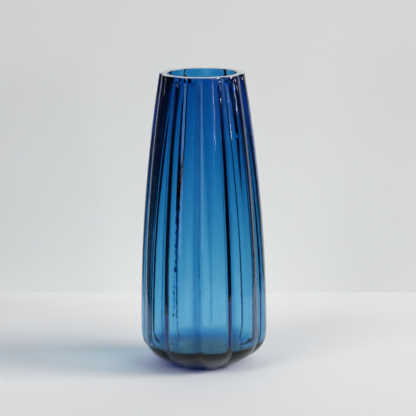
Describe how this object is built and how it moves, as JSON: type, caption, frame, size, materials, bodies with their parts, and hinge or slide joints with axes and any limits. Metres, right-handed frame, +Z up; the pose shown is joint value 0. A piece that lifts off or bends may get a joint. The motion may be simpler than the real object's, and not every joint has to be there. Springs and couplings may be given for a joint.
{
  "type": "glass bud vase",
  "caption": "Tall thick-walled blue glass bud vase with a lobed, slightly tapered body, a narrow flat-ground mouth and a heavy solid base.",
  "frame": {"origin": "middle of the ground foot, on the surface the vase stands on", "axes": "+Z up along the axis of the vase, -Y towards the viewer, +X to the viewer's right"},
  "size_m": [0.0854, 0.0846, 0.2],
  "materials": {
    "glass_base": "glossy",
    "glass_wall": "glossy",
    "glass_rim": "glossy"
  },
  "bodies": {
    "root": {"heavy_base": "glass_base", "fluted_wall": "glass_wall", "ground_rim": "glass_rim"}
  },
  "joints": []
}
